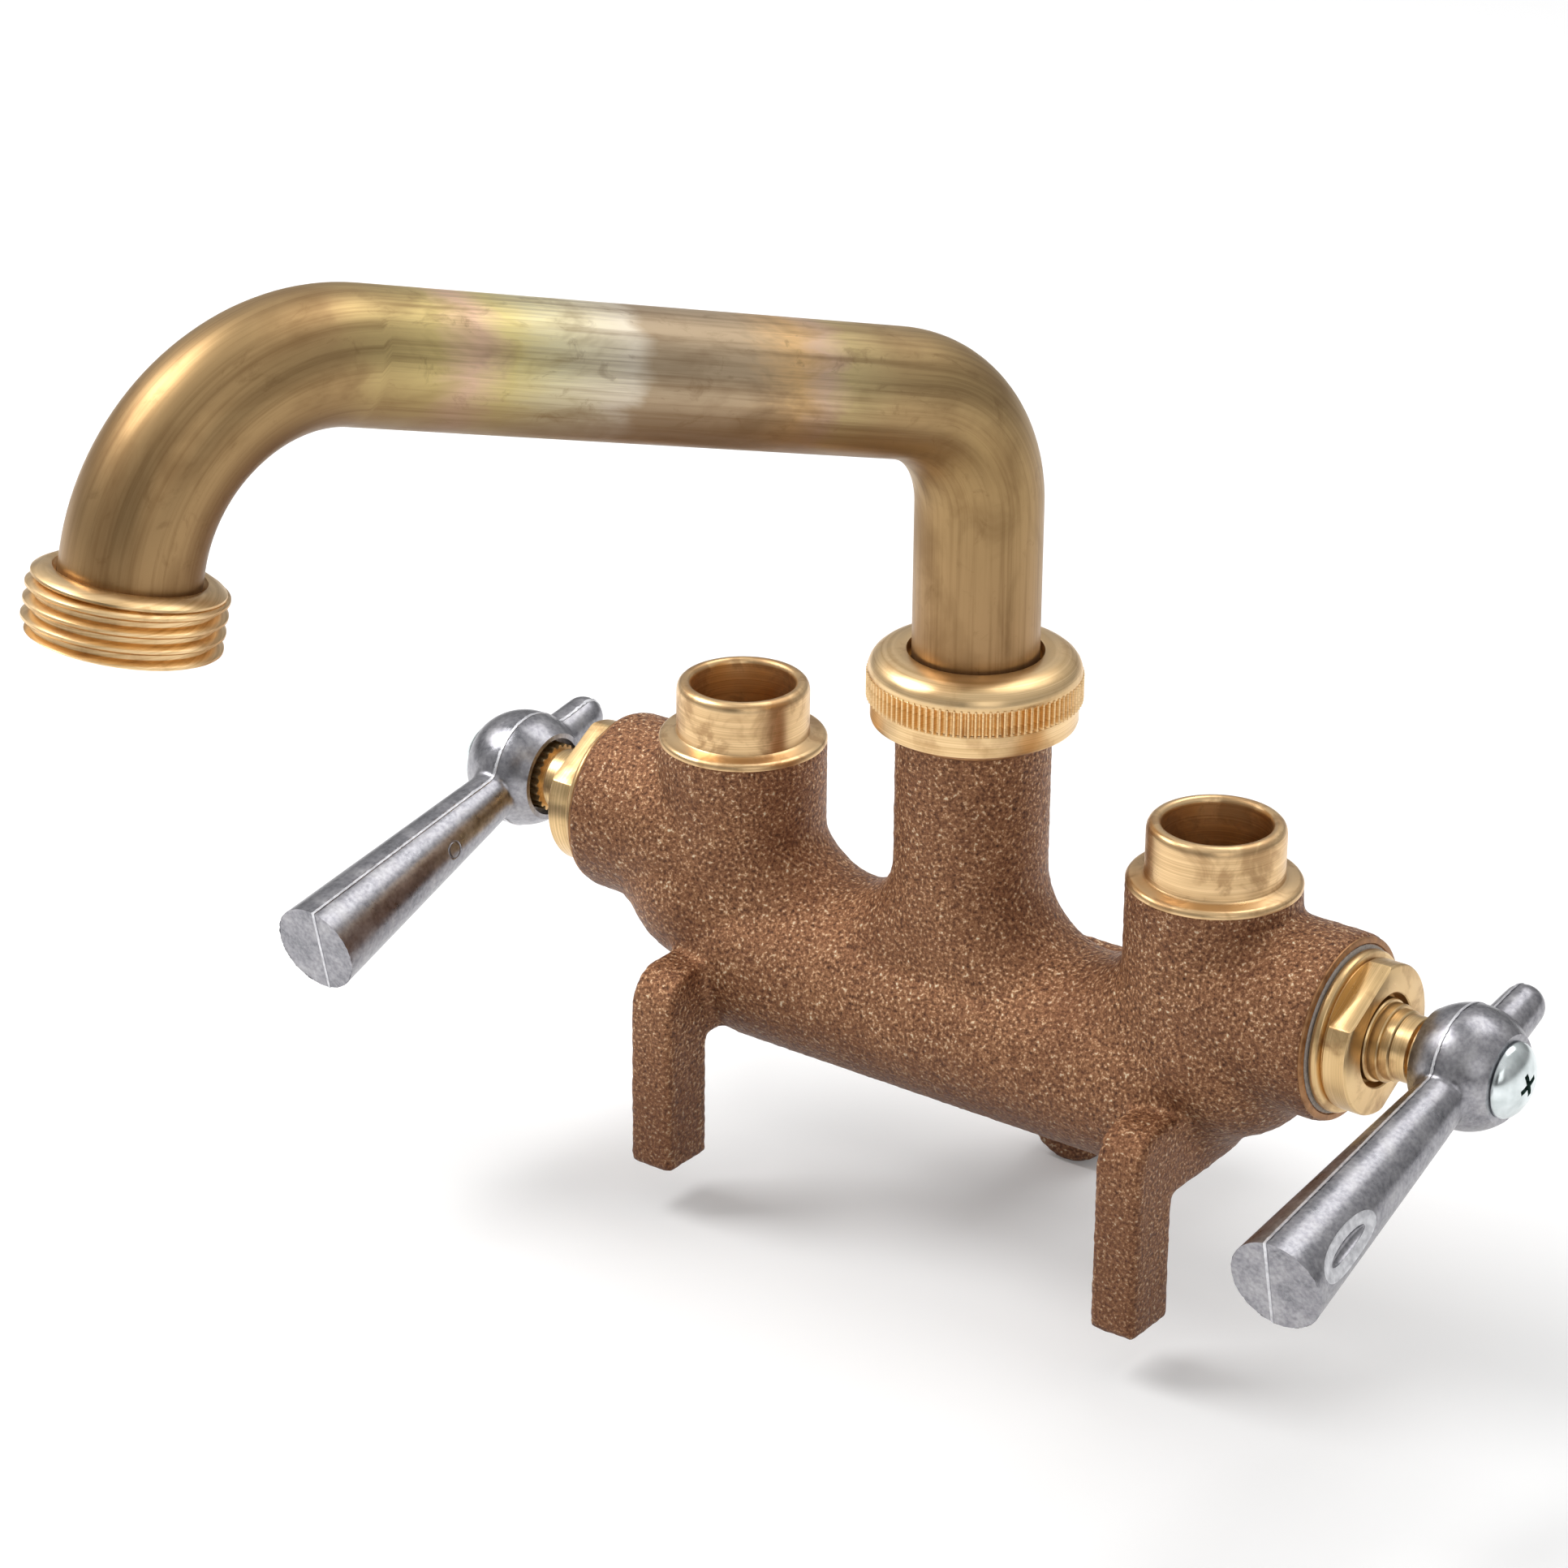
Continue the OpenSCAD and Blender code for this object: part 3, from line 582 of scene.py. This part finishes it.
gate_way = lever_side(17)
gate_run = (lever_way + gate_way * 0.071).normalized()
gate_out = (gate_way - lever_way * 0.071).normalized()
gate_turn = Matrix((gate_out, gate_run, gate_out.cross(gate_run))).transposed().to_euler()
for out, sizes, skin in ((7.38, (1.6, 8.9, 12), 1), (6.13, (1.0, 4.9, 1.15), 0)):
    bpy.ops.mesh.primitive_uv_sphere_add(
        segments=96, ring_count=64, radius=1 * mm, location=(on_lever(43) + gate_way * out) * mm,
        rotation=gate_turn, scale=sizes)
    trim = joined([bpy.context.object], "gate_trim")
    trim.data.materials.append(zinc)
    trim.data.materials.append(trimmed)
    for face in trim.data.polygons:
        face.material_index = skin
    cut(handle, trim)
pin_way = lever_side(167)
bpy.ops.mesh.primitive_torus_add(
    major_segments=48, minor_segments=12, major_radius=1.35 * mm, minor_radius=0.24 * mm,
    location=(on_lever(24) + pin_way * 5.12) * mm, rotation=pin_way.to_track_quat("Z", "Y").to_euler())
cut(handle, joined([bpy.context.object], "ejector_pin"))
cold_handle = joined([handle, flash], "cold_lever_handle")
hot_handle = hot_copy(cold_handle, "hot_lever_handle")
for piece, side in ((cold_handle, "cold"), (hot_handle, "hot")):
    smooth_shade(piece, 40)
    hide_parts(side + "_handle")
    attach(piece, side + "_valve")

# A steel screw with a broad domed head, cold formed and zinc plated, goes through each hub into the end
# of the stem and holds the handle on its splines. A cross recess is punched into its top.
dome = turned("screw_dome", [
    (0, 82.5), (1.7, 82.5), (1.7, 92.86), (5.45, 92.86), (5.7, 93.05), (5.7, 93.45), (5.35, 94.1),
    (4.7, 94.75),
    (3.8, 95.3), (2.7, 95.72), (1.4, 95.97), (0, 96.04)], 64)
bpy.ops.mesh.primitive_cube_add(size=1, location=(0, 0, 95.6 * mm), scale=(1.15 * mm, 1.15 * mm, 3.2 * mm))
bpy.ops.object.transform_apply(location=True, rotation=True, scale=True)
cross = bpy.context.object
for way in (Vector((1, 0, 0)), Vector((-1, 0, 0)), Vector((0, 1, 0)), Vector((0, -1, 0))):
    bpy.ops.object.mode_set(mode="EDIT")
    bpy.ops.mesh.select_mode(type="FACE")
    bpy.ops.mesh.select_all(action="DESELECT")
    bpy.ops.object.mode_set(mode="OBJECT")
    for face in cross.data.polygons:
        face.select = face.normal.dot(way) > 0.9 and abs(face.center.cross(way).z) < 0.1 * mm
    bpy.ops.object.mode_set(mode="EDIT")
    bpy.ops.mesh.extrude_region_move(TRANSFORM_OT_translate={"value": way * 1.95 * mm})
    bpy.ops.object.mode_set(mode="OBJECT")
bpy.ops.object.mode_set(mode="EDIT")
bpy.ops.mesh.select_mode(type="VERT")
bpy.ops.mesh.select_all(action="DESELECT")
bpy.ops.object.mode_set(mode="OBJECT")
for point in cross.data.vertices:
    point.select = point.co.z < 95 * mm
bpy.ops.object.mode_set(mode="EDIT")
bpy.ops.transform.resize(value=(0.45, 0.45, 1), center_override=(0, 0, 0))
bpy.ops.object.mode_set(mode="OBJECT")
plate, tree, shader, place = finish("bright_zinc_plate", 1.0, 0.2)
tone = noise(tree, place, 420, 3)
tree.links.new(ramp(tree, tone, [(0.3, srgb(203, 212, 212)), (0.7, srgb(241, 248, 249))]),
               shader.inputs["Base Color"])
tree.links.new(spread(tree, tone, 0.18, 0.28), shader.inputs["Roughness"])
# The cross recess is coloured dark green: a greenish passivate tint, with painted shade making it dark.
recess, tree, shader, place = finish("recess_passivate_and_painted_shade", 0.6, 0.5)
tone = noise(tree, place, 900, 3)
tree.links.new(ramp(tree, tone, [(0.3, srgb(38, 62, 56)), (0.7, srgb(74, 104, 94))]),
               shader.inputs["Base Color"])
for head in (dome, cross):
    head.data.materials.append(plate)
    head.data.materials.append(recess)
for face in cross.data.polygons:
    face.material_index = 1
cut(dome, cross)
cold_screw = dome
cold_screw.name = cold_screw.data.name = "cold_screw_head"
put(cold_screw, onto_axis @ Matrix.Rotation(math.radians(20), 3, "Z"), (0, 0, valve_z))
hot_screw = hot_copy(cold_screw, "hot_screw_head")
for screw, side in ((cold_screw, "cold"), (hot_screw, "hot")):
    smooth_shade(screw, 30)
    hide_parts(side + "_handle_screw")
    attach(screw, side + "_valve")

# The spout's foot is a turned brass spigot with a collar and a rubber ring, running on a slip washer in
# the neck. All three are covered by the nut.
for part, made_of in (("spout_spigot", brass), ("spout_o_ring", rubber), ("spout_friction_washer", slip)):
    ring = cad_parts[part]
    ring.data.materials.clear()
    ring.data.materials.append(made_of)

# The spout's nut is turned from brass bar: a domed top with a hole for the tube, a band of straight
# knurling for the fingers, a groove, and a plain ring over the neck's thread.
nut_ring = turned("nut_ring", [
    (12.65, 62.6), (15.0, 62.6), (15.4, 62.85), (15.55, 63.3), (15.55, 66.1), (15.4, 66.3), (15.0, 66.4),
    (15.0, 70.2),
    (15.95, 70.2), (16.02, 70.6), (15.95, 71.2), (15.7, 71.9), (15.25, 72.55), (14.6, 73.1), (13.8, 73.55),
    (12.8, 73.85),
    (11.6, 74.0), (10.6, 74.0), (10.3, 73.9), (10.18, 73.6), (10.18, 71.1), (12.65, 71.1)], 128)
knurl = toothed("knurl_band", 94, 15.4, 16.2, 66.35, 70.5)
bore = joined([cast_rod((0, 0, 60), (0, 0, 80), 14.2, 14.2)], "band_bore")
cut(knurl, bore)
use_modifier(knurl, "BEVEL", width=0.08 * mm, segments=1, limit_method="ANGLE",
             angle_limit=math.radians(60))
nut = joined([nut_ring, knurl], "spout_ring_nut")
smooth_shade(nut, 30)
nut_brass, tree, shader, place = finish("bright_turned_brass", 1.0, 0.22)
tool_lines = noise(tree, stretched(tree, place, 20, 20, 5000), 1, 2)
tone = noise(tree, place, 220, 4, 0.6)
metal = ramp(tree, tool_lines, [(0.3, srgb(216, 180, 128)), (0.7, srgb(249, 216, 166))])
metal = blend_colour(tree, ramp(tree, tone, [(0.55, (0, 0, 0, 1)), (0.75, (0.5, 0.5, 0.5, 1))]), metal,
                     srgb(178, 135, 88))
tree.links.new(metal, shader.inputs["Base Color"])
tree.links.new(spread(tree, tone, 0.28, 0.42), shader.inputs["Roughness"])
bump(tree, shader, tool_lines, 0.015 * mm, 0.3)
nut.data.materials.append(nut_brass)
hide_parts("spout_nut")
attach(nut, "body")

# The spout is one length of thin drawn brass tube, brazed into the spigot, bent once above the nut and
# once down to the outlet. It is left raw, so the torch's heat tint and the die's drawing streaks show.
tube_r = 9.525 * mm
tube_foot = 61 * mm
swing = Matrix.Rotation(math.radians(-17), 3, "Z")
rear_bend, front_bend = 21 * mm, 27.5 * mm
rise, tilt = math.radians(15), math.radians(12)
rear_turn, front_turn = math.pi / 2 - rise, math.pi / 2 + rise - tilt
riser_top = 113.1 * mm - rear_bend * math.tan(rear_turn / 2)
arm_start = Vector((0, -rear_bend * (1 - math.cos(rear_turn)), riser_top + rear_bend * math.sin(rear_turn)))
arm_way = Vector((0, -math.cos(rise), math.sin(rise)))
arm_length = 94.62 * mm
arm_stop = arm_start + arm_way * arm_length
front_centre = arm_stop - front_bend * Vector((0, math.sin(rise), math.cos(rise)))
outlet_way = Vector((0, -math.sin(tilt), -math.cos(tilt)))
bpy.ops.object.select_all(action="DESELECT")
bpy.ops.mesh.primitive_circle_add(vertices=64, radius=tube_r, location=(0, 0, tube_foot))
bpy.ops.object.transform_apply(location=True, rotation=True, scale=True)
tube = bpy.context.object
tube.name = tube.data.name = "spout_pipe"
bpy.ops.object.mode_set(mode="EDIT")
bpy.ops.mesh.select_all(action="SELECT")
for step in range(12):
    bpy.ops.mesh.extrude_region_move(TRANSFORM_OT_translate={"value": (0, 0, (riser_top - tube_foot) / 12)})
bpy.ops.mesh.spin(steps=28, angle=rear_turn, center=(0, -rear_bend, riser_top), axis=(-1, 0, 0))
for step in range(30):
    bpy.ops.mesh.extrude_region_move(TRANSFORM_OT_translate={"value": arm_way * arm_length / 30})
bpy.ops.mesh.spin(steps=36, angle=front_turn, center=front_centre, axis=(-1, 0, 0))
for step in range(4):
    bpy.ops.mesh.extrude_region_move(TRANSFORM_OT_translate={"value": outlet_way * 9.5 * mm / 4})
bpy.ops.mesh.select_all(action="SELECT")
bpy.ops.mesh.remove_doubles(threshold=0.001 * mm)
bpy.ops.mesh.normals_make_consistent(inside=False)
bpy.ops.object.mode_set(mode="OBJECT")
use_modifier(tube, "SOLIDIFY", thickness=1.07 * mm, offset=-1)
tube_run = riser_top - tube_foot + rear_bend * rear_turn + arm_length + front_bend * front_turn + 9.5 * mm
straight = tube.data.attributes.new("straightened", "FLOAT_VECTOR", "POINT")
for point, laid in zip(tube.data.vertices, straight.data):
    x, y, z = point.co
    if z < riser_top and y > -rear_bend:
        laid.vector = (x, y, z - tube_foot)
        continue
    turned_by = math.atan2(z - riser_top, y + rear_bend)
    if turned_by < rear_turn:
        laid.vector = (x, math.hypot(z - riser_top, y + rear_bend) - rear_bend,
                       riser_top - tube_foot + rear_bend * turned_by)
        continue
    past = (point.co - arm_start).dot(arm_way)
    sofar = riser_top - tube_foot + rear_bend * rear_turn
    spoke = point.co - front_centre
    if past < arm_length:
        laid.vector = (x, spoke.dot(Vector((0, math.sin(rise), math.cos(rise)))) - front_bend, sofar + past)
        continue
    turned_by = math.atan2(spoke.dot(arm_way), spoke.dot(Vector((0, math.sin(rise), math.cos(rise)))))
    laid.vector = (x, spoke.length - front_bend, sofar + arm_length + front_bend * turned_by)
put(tube, swing, (0, 0, 0))
smooth_shade(tube, 40)
raw_tube, tree, shader, place = finish("raw_drawn_brass", 0.85, 0.4)
run = tree.nodes.new("ShaderNodeAttribute")
run.attribute_name = "straightened"
run = run.outputs["Vector"]
streak = noise(tree, stretched(tree, run, 1100, 1100, 22), 1, 5, 0.65)
cloud = noise(tree, stretched(tree, run, 130, 130, 60), 1, 4, 0.6, 0.5)
parts = tree.nodes.new("ShaderNodeSeparateXYZ")
tree.links.new(run, parts.inputs["Vector"])
wander = tree.nodes.new("ShaderNodeMath")
wander.operation = "MULTIPLY_ADD"
wander.inputs[1].default_value = 0.014
tree.links.new(cloud, wander.inputs[0])
tree.links.new(parts.outputs["Z"], wander.inputs[2])
along = tree.nodes.new("ShaderNodeMapRange")
along.inputs["From Min"].default_value = 0.007
along.inputs["From Max"].default_value = tube_run + 0.007
tree.links.new(wander.outputs[0], along.inputs["Value"])
along = along.outputs["Result"]
tint = ramp(tree, along, [
    (0.00, srgb(184, 145, 108)), (0.05, srgb(177, 142, 101)), (0.24, srgb(177, 147, 99)),
    (0.33, srgb(195, 165, 117)),
    (0.375, srgb(218, 195, 142)), (0.395, srgb(228, 195, 165)), (0.42, srgb(237, 196, 140)),
    (0.46, srgb(206, 181, 148)),
    (0.540, srgb(198, 176, 146)), (0.553, srgb(246, 234, 212)), (0.615, srgb(242, 231, 188)),
    (0.65, srgb(241, 223, 154)),
    (0.68, srgb(246, 209, 177)), (0.71, srgb(223, 200, 136)), (0.78, srgb(180, 149, 103)),
    (1.00, srgb(169, 135, 93))])
smudge = noise(tree, stretched(tree, run, 260, 260, 170), 1, 5, 0.65, 1.2)
# One brown serves the real streaks and smudges, and the painted shade below.
stain_and_shade_brown = srgb(126, 94, 57)
tint = blend_colour(tree, ramp(tree, streak, [(0.45, (0, 0, 0, 1)), (0.68, (0.5, 0.5, 0.5, 1))]), tint,
                    stain_and_shade_brown)
tint = blend_colour(tree, ramp(tree, cloud, [(0.48, (0, 0, 0, 1)), (0.7, (0.52, 0.52, 0.52, 1))]), tint,
                    stain_and_shade_brown)
tint = blend_colour(tree, ramp(tree, smudge, [(0.58, (0, 0, 0, 1)), (0.68, (0.32, 0.32, 0.32, 1))]), tint,
                    stain_and_shade_brown)
# Painted shade: the tube's underside and the inner side of its bends are darkened towards brown, only a
# little on the riser.
painted_underside_shade = tree.nodes.new("ShaderNodeMath")
painted_underside_shade.operation = "MULTIPLY"
tree.links.new(eased(tree, parts.outputs["Y"], -8 * mm, 3 * mm, 0.85, 0), painted_underside_shade.inputs[0])
tree.links.new(eased(tree, along, 0.2, 0.36, 0.1, 1), painted_underside_shade.inputs[1])
tint = blend_colour(tree, painted_underside_shade.outputs[0], tint, stain_and_shade_brown)
tree.links.new(tint, shader.inputs["Base Color"])
tree.links.new(spread(tree, cloud, 0.34, 0.48), shader.inputs["Roughness"])
bump(tree, shader, streak, 0.01 * mm, 0.4)
tube.data.materials.append(raw_tube)
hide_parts("spout_tube")
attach(tube, "spout")

# The hose end is a turned brass ferrule brazed on the tube's mouth, with a coarse outside thread for a
# garden hose, a bevelled top and a plain lip below the last turn.
ferrule = turned("hose_ferrule", [
    (8.5, 9.4), (8.5, 6.5), (9.55, 6.5), (9.55, 0.8), (10.0, 0.5), (10.2, 0.1), (10.5, 0.0), (11.3, 0.08),
    (12.5, 0.75),
    (12.85, 1.05), (12.9, 1.35), (12.6, 1.6), (12.1, 1.7), (12.1, 8.9), (12.45, 8.95), (12.55, 9.1),
    (12.45, 9.3), (12.2, 9.4)], 128)
bpy.ops.object.select_all(action="DESELECT")
bpy.ops.mesh.primitive_plane_add(size=1 * mm, location=(0, 0, 0))
crest = bpy.context.object
bpy.ops.object.mode_set(mode="EDIT")
bpy.ops.mesh.select_mode(type="VERT")
bpy.ops.mesh.select_all(action="SELECT")
bpy.ops.mesh.merge(type="CENTER")
bpy.ops.transform.translate(value=(11.9 * mm, 0, -0.9 * mm))
for dr, dz in ((0.4, 0.12), (0.8, 0.3), (0.3, 0.25), (0, 0.36), (-0.3, 0.25), (-0.8, 0.3), (-0.4, 0.12),
               (0, -1.7)):
    bpy.ops.mesh.extrude_region_move(TRANSFORM_OT_translate={"value": (dr * mm, 0, dz * mm)})
bpy.ops.mesh.select_all(action="SELECT")
bpy.ops.mesh.remove_doubles(threshold=0.001 * mm)
bpy.ops.object.mode_set(mode="OBJECT")
use_modifier(crest, "SCREW", axis="Z", angle=2 * math.pi, screw_offset=2.2 * mm, iterations=5, steps=96,
             render_steps=96, use_merge_vertices=True, merge_threshold=0.001 * mm)
bpy.ops.object.mode_set(mode="EDIT")
bpy.ops.mesh.select_all(action="SELECT")
bpy.ops.mesh.fill_holes(sides=0)
bpy.ops.mesh.normals_make_consistent(inside=False)
bpy.ops.object.mode_set(mode="OBJECT")
cut(crest, joined([cast_rod((0, 0, 1.5), (0, 0, 8.9), 14, 14)], "thread_trim"), "INTERSECT")
hose_end = joined([ferrule, crest], "hose_ferrule")
outlet_top = swing @ Vector((0, -141.4 * mm, 118.95 * mm))
put(hose_end, swing @ Matrix.Rotation(math.pi - tilt, 3, "X"), outlet_top)
bpy.ops.object.mode_set(mode="EDIT")
bpy.ops.mesh.select_all(action="SELECT")
bpy.ops.mesh.normals_make_consistent(inside=False)
bpy.ops.object.mode_set(mode="OBJECT")
smooth_shade(hose_end, 35)
hose_end.data.materials.append(nut_brass)
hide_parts("hose_end")
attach(hose_end, "spout")

# The studio is a pale matt floor under a grey surround that darkens towards the viewer, with three
# square softboxes and a long-lens camera that looks down a little from the front right.
bpy.ops.object.select_all(action="DESELECT")
bpy.ops.mesh.primitive_plane_add(size=6, location=(0, 0, -24.6 * mm))
floor = bpy.context.object
floor.name = floor.data.name = "studio_floor"
azimuth = math.radians(36.21)
camera_side = Vector((math.sin(azimuth), -math.cos(azimuth), 0))


def sums(tree, how, first, second):
    """One step of arithmetic on two values, each a pattern or a number."""
    node = tree.nodes.new("ShaderNodeMath")
    node.operation = how
    for socket, value in zip(node.inputs, (first, second)):
        if isinstance(value, bpy.types.NodeSocket):
            tree.links.new(value, socket)
        else:
            socket.default_value = value
    return node.outputs[0]


def towards(tree, place, way, level):
    """How far a place lies in one direction, or for a level share, how squarely it lies that way."""
    across = place
    if level:
        for how in ("MULTIPLY", "NORMALIZE"):
            node = tree.nodes.new("ShaderNodeVectorMath")
            node.operation = how
            tree.links.new(across, node.inputs[0])
            node.inputs[1].default_value = (1, 1, 0)
            across = node.outputs["Vector"]
    node = tree.nodes.new("ShaderNodeVectorMath")
    node.operation = "DOT_PRODUCT"
    tree.links.new(across, node.inputs[0])
    node.inputs[1].default_value = way
    return node.outputs["Value"]


pale, tree, shader, place = finish("pale_floor", 0.0, 0.9)
tone = ramp(tree, noise(tree, place, 8, 2), [(0.3, (0.93, 0.93, 0.93, 1)), (0.7, (0.96, 0.96, 0.96, 1))])
ray = tree.nodes.new("ShaderNodeLightPath")
shown = sums(tree, "MAXIMUM", ray.outputs["Is Camera Ray"],
             sums(tree, "MAXIMUM", ray.outputs["Is Glossy Ray"], ray.outputs["Is Transmission Ray"]))
tone = blend_colour(tree, shown, (0.45, 0.45, 0.45, 1), tone)
tree.links.new(tone, shader.inputs["Base Color"])
shader.inputs["Specular IOR Level"].default_value = 0.1
shader.inputs["Emission Color"].default_value = (1, 1, 1, 1)
glow = sums(tree, "MULTIPLY", 0.1, shown)
tree.links.new(glow, shader.inputs["Emission Strength"])
floor.data.materials.append(pale)

surround = bpy.data.worlds.new("grey_surround")
surround.use_nodes = True
tree = surround.node_tree
background = tree.nodes["Background"]
background.inputs["Color"].default_value = (1, 1, 1, 1)
place = tree.nodes.new("ShaderNodeTexCoord").outputs["Generated"]
overhead = eased(tree, towards(tree, place, (0, 0, 1), False), -0.2, 0.85, 0.22, 0.66)
viewer = sums(tree, "MULTIPLY", eased(tree, towards(tree, place, camera_side, True), 0.77, 0.97, 0, 1),
              eased(tree, towards(tree, place, (0, 0, 1), False), 0.45, 0.75, 0.9, 0))
around = sums(tree, "MULTIPLY", overhead, sums(tree, "SUBTRACT", 1, viewer))
tree.links.new(around, background.inputs["Strength"])
bpy.context.scene.world = surround

for name, where, size, watts in (
        ("key_softbox", (-0.75, -0.35, 0.95), 0.6, 8.5), ("fill_softbox", (0.8, -0.75, 0.5), 0.6, 1.5),
        ("top_softbox", (0.1, 0.5, 1.1), 0.7, 3.2)):
    bpy.ops.object.light_add(type="AREA", location=where)
    lamp = bpy.context.object
    lamp.name = name
    lamp.data.shape = "SQUARE"
    lamp.data.size = size
    lamp.data.energy = watts
    lamp.rotation_euler = (Vector(where) - Vector((0, -0.03, 0.06))).to_track_quat("Z", "Y").to_euler()

elevation, roll = math.radians(24.189), math.radians(0.485)
back = Vector((math.sin(azimuth) * math.cos(elevation), -math.cos(azimuth) * math.cos(elevation),
               math.sin(elevation)))
level_right = Vector((math.cos(azimuth), math.sin(azimuth), 0))
right = math.cos(roll) * level_right + math.sin(roll) * back.cross(level_right)
up = back.cross(right)
bpy.ops.object.camera_add()
camera = bpy.context.object
camera.name = "photo_camera"
camera.data.sensor_width = 36
camera.data.lens = 36 * 6507.34 / 1932
eye = (back * 787.459 + right * -28.251 + up * -6.042 + Vector((0, 0, 58.5))) * mm
camera.matrix_world = Matrix.Translation(eye) @ Matrix((right, up, back)).transposed().to_4x4()
bpy.context.scene.camera = camera
bpy.context.scene.view_settings.view_transform = "Standard"
